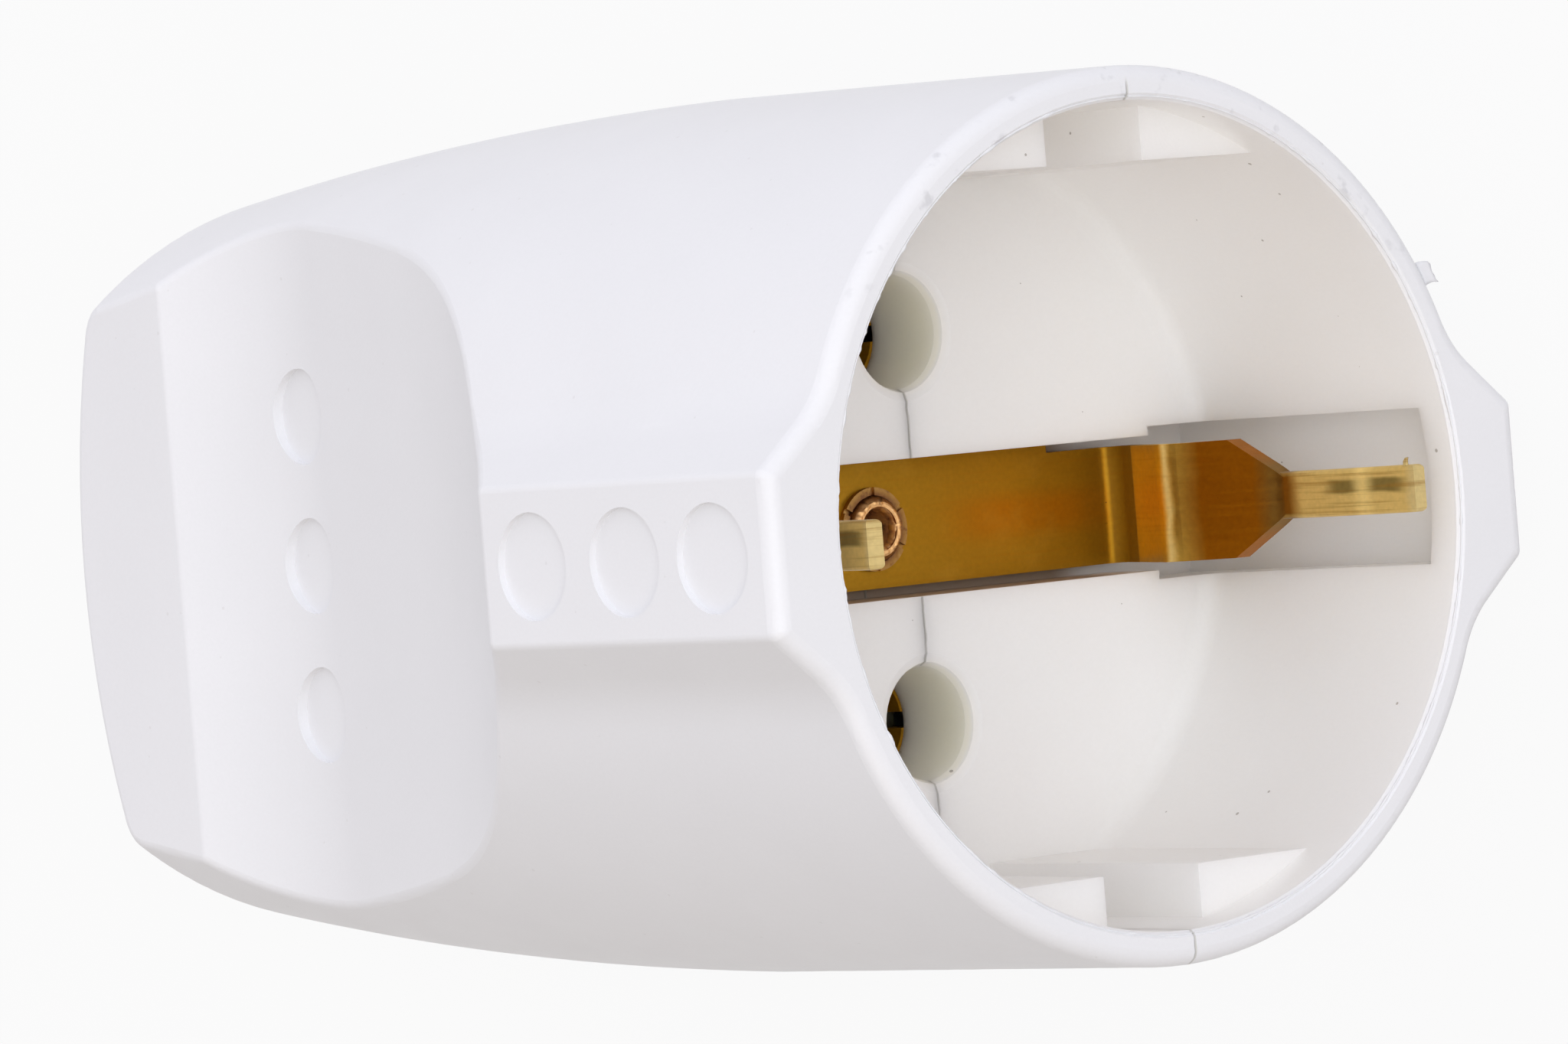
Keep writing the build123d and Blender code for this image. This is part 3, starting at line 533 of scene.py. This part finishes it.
def copper(tree, where, x, y, z, radius):
    """Copper of the rivet: bright on the lip, dull on the flared ring and tarnished in the bore, with a
    painted shadow line round the lip's foot and dark stains.
    """
    stain = tree.noise(where, *COPPER_STAIN)
    reach = tree.total(tree.math("DIVIDE", radius, RIVET_FLARE_R), tree.span(stain, *COPPER_WANDER))
    tint = tree.ramp(reach, COPPER_STOPS)
    inputs = {
        # The same dark colour as real stains, where the noise puts them
        "Base Color": tree.mix(tree.step(stain, *COPPER_STAIN_EDGE), tint, COPPER_STAIN_AND_SHADOW),
        "Metallic": tree.span(tree.step(reach, *BORE_EDGE), BORE_METAL, 1.0),
        "Roughness": tree.span(stain, *COPPER_ROUGHNESS),
    }
    return inputs, tree.times(tree.noise(where, *COPPER_DENTS), COPPER_RELIEF)


def steel(tree, where, x, y, z, radius):
    """Plated steel, turned and a little stained."""
    stain = tree.step(tree.noise(where, *STEEL_CLOUDS), *STEEL_STAIN_EDGE)
    lines = tree.noise(where, *STEEL_LINES)
    inputs = {
        "Base Color": tree.mix(stain, STEEL, STEEL_STAIN),
        "Metallic": 1.0,
        "Roughness": tree.span(lines, *STEEL_ROUGHNESS),
    }
    return inputs, tree.times(lines, STEEL_RELIEF)


def paint_nodes():
    for subpart in frame["record"]["subparts"]:
        node = frame["nodes"][subpart["node"]]
        node.data.materials.clear()
        node.data.materials.append(finishes[subpart["material_slot"]])


def add_piece(name, slot, points, faces):
    """Extra piece from points of the axis frame, in mm, in the finish of a slot."""
    mesh = bpy.data.meshes.new(name)
    mesh.from_pydata([place(*point) for point in points], [], faces)
    shape = bmesh.new()
    shape.from_mesh(mesh)
    bmesh.ops.recalc_face_normals(shape, faces=shape.faces)
    shape.to_mesh(mesh)
    shape.free()
    mesh.shade_smooth()
    mesh.materials.append(finishes[slot])
    piece = bpy.data.objects.new(name, mesh)
    bpy.context.scene.collection.objects.link(piece)
    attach(piece, "root")
    return piece


def add_ring(name, slot, steps, section):
    """Closed ring about the axis, from the outline in x and radius that section gives for each direction."""
    points = []
    for step in range(steps):
        angle = math.tau * step / steps
        spin = Vector((0, math.cos(angle), math.sin(angle)))
        points += [Vector((x, 0, 0)) + spin * radius for x, radius in section(spin)]
    sides = len(points) // steps
    faces = []
    for start in range(0, len(points), sides):
        following = (start + sides) % len(points)
        for side in range(sides):
            after = (side + 1) % sides
            faces.append((start + side, start + after, following + after, following + side))
    add_piece(name, slot, points, faces)


def flash_section(spin):
    """Outline of the flash bead, thicker where it has a lump."""
    lump = sum(noise.noise(spin * often) * share for often, share in (FLASH_COARSE, FLASH_FINE))
    thick = FLASH_R + FLASH_LUMP * max(0.0, lump)
    outline = []
    for corner in range(FLASH_SIDES):
        angle = math.tau * corner / FLASH_SIDES
        outline.append((thick * math.cos(angle) - FLASH_BACK, FLASH_RING_R + thick * math.sin(angle)))
    return outline


def lip_section(spin):
    """Outline of the rivet's lip, which strays more towards the bore."""
    stray = noise.noise(spin * LIP_COARSE) + noise.noise(spin * LIP_FINE) / 2
    edge = noise.noise(spin * LIP_HEIGHTS)
    widest = LIP_OUTLINE[0][1]
    return [(height * (1 + LIP_STRAY * edge) - STRAP_BACK, radius + LIP_STRAY * stray * (widest - radius))
            for height, radius in LIP_OUTLINE]


def add_scrap(name, slot, root, edge, stand, bend, sizes):
    """Bent sheet with a ragged free edge."""
    width, height, hook, thickness = sizes
    root, edge, stand, bend = (Vector(part) for part in (root, edge, stand, bend))
    points = []
    for row in range(SCRAP_ROWS + 1):
        up = row / SCRAP_ROWS
        for column in range(SCRAP_ROWS + 1):
            side = column / SCRAP_ROWS - 0.5
            rag = 1 + SCRAP_RAG * noise.noise(Vector((side * SCRAP_TEETH, up, width)))
            points.append(root + edge * side * width + stand * height * up * rag + bend * hook * up ** 2)
    wide = SCRAP_ROWS + 1
    corners = [row * wide + column for row in range(SCRAP_ROWS) for column in range(SCRAP_ROWS)]
    piece = add_piece(name, slot, points, [(at, at + 1, at + 1 + wide, at + wide) for at in corners])
    solid = piece.modifiers.new("thickness", "SOLIDIFY")
    solid.thickness = thickness * MM
    solid.offset = 0.0


recipes = {"housing_plastic": plastic, "brass": brass, "copper": copper, "steel": steel}
finishes = {name: finished(name, recipe) for name, recipe in recipes.items()}
add_camera()
add_lamps()
add_sky()
add_floor()
paint_nodes()
add_ring("mouth_flash", "housing_plastic", FLASH_STEPS, flash_section)
add_ring("rivet_lip", "copper", LIP_STEPS, lip_section)
for name, scrap in SCRAPS.items():
    add_scrap(name, *scrap)
bpy.context.scene.view_settings.view_transform = "Standard"
